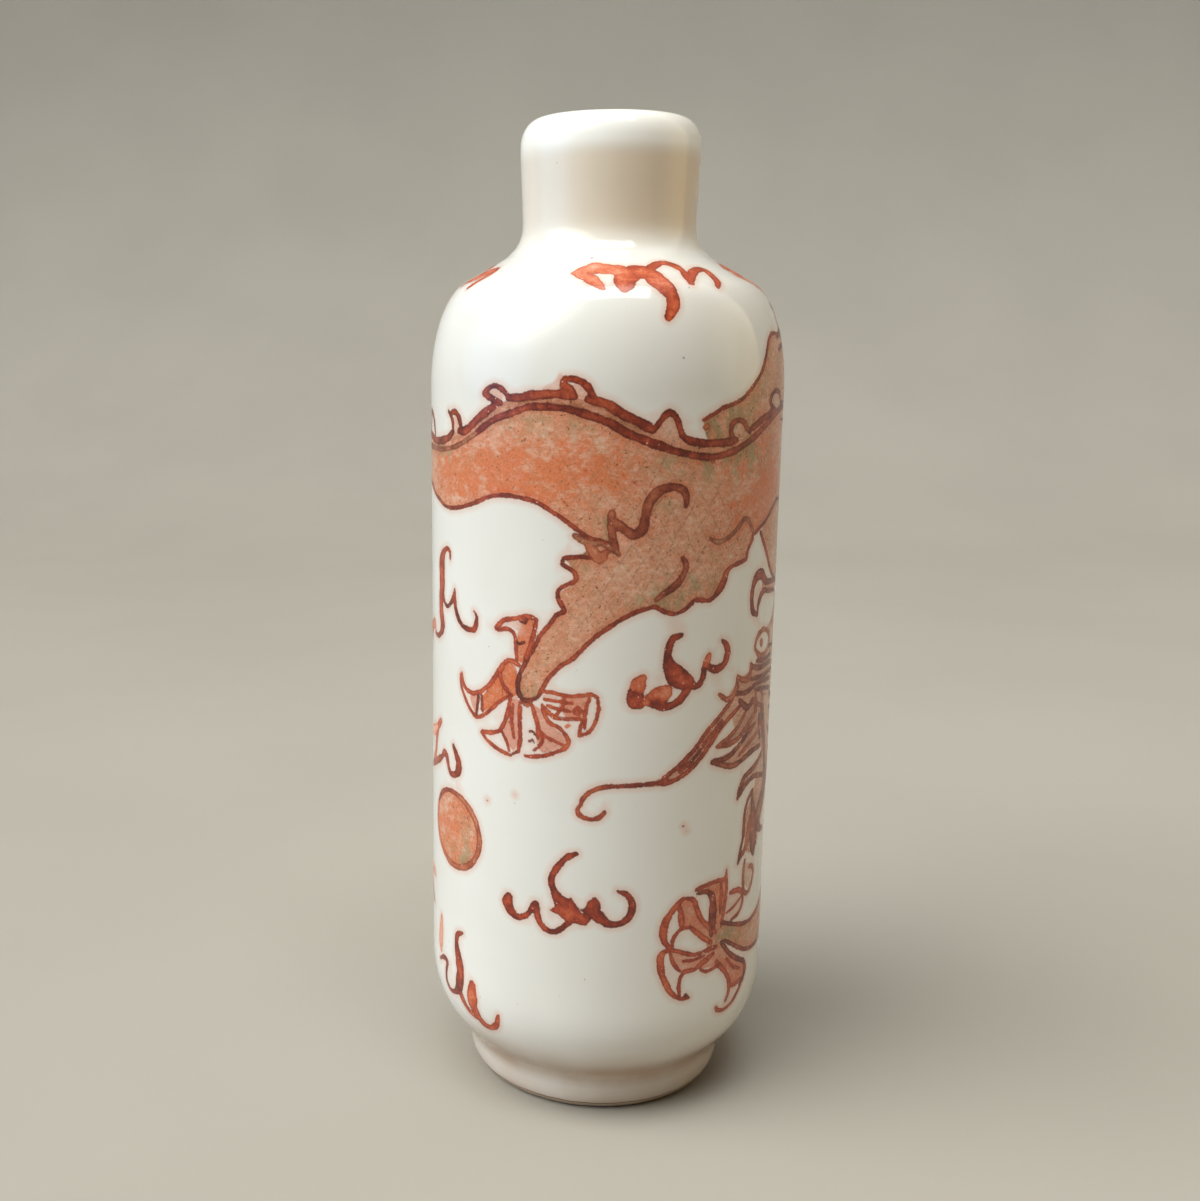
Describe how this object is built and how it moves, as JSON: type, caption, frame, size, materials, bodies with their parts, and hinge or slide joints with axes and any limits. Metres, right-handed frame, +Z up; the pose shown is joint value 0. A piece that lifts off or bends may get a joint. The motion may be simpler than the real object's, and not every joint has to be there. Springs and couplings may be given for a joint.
{
  "type": "snuff bottle",
  "caption": "Tall cylindrical porcelain snuff bottle on a ring foot, with a short neck and open mouth, painted all round with a dragon among clouds.",
  "frame": {"origin": "middle of the foot's underside, on the surface the bottle stands on", "axes": "+Z up along the bottle's axis, -Y towards the painted front seen in the picture, +X to the right of that view"},
  "size_m": [0.028, 0.028, 0.078],
  "materials": {
    "porcelain": "glossy clear glaze over white porcelain, painted in iron red, with an unglazed line round the foot"
  },
  "bodies": {
    "root": {"bottle": "porcelain"}
  },
  "joints": []
}
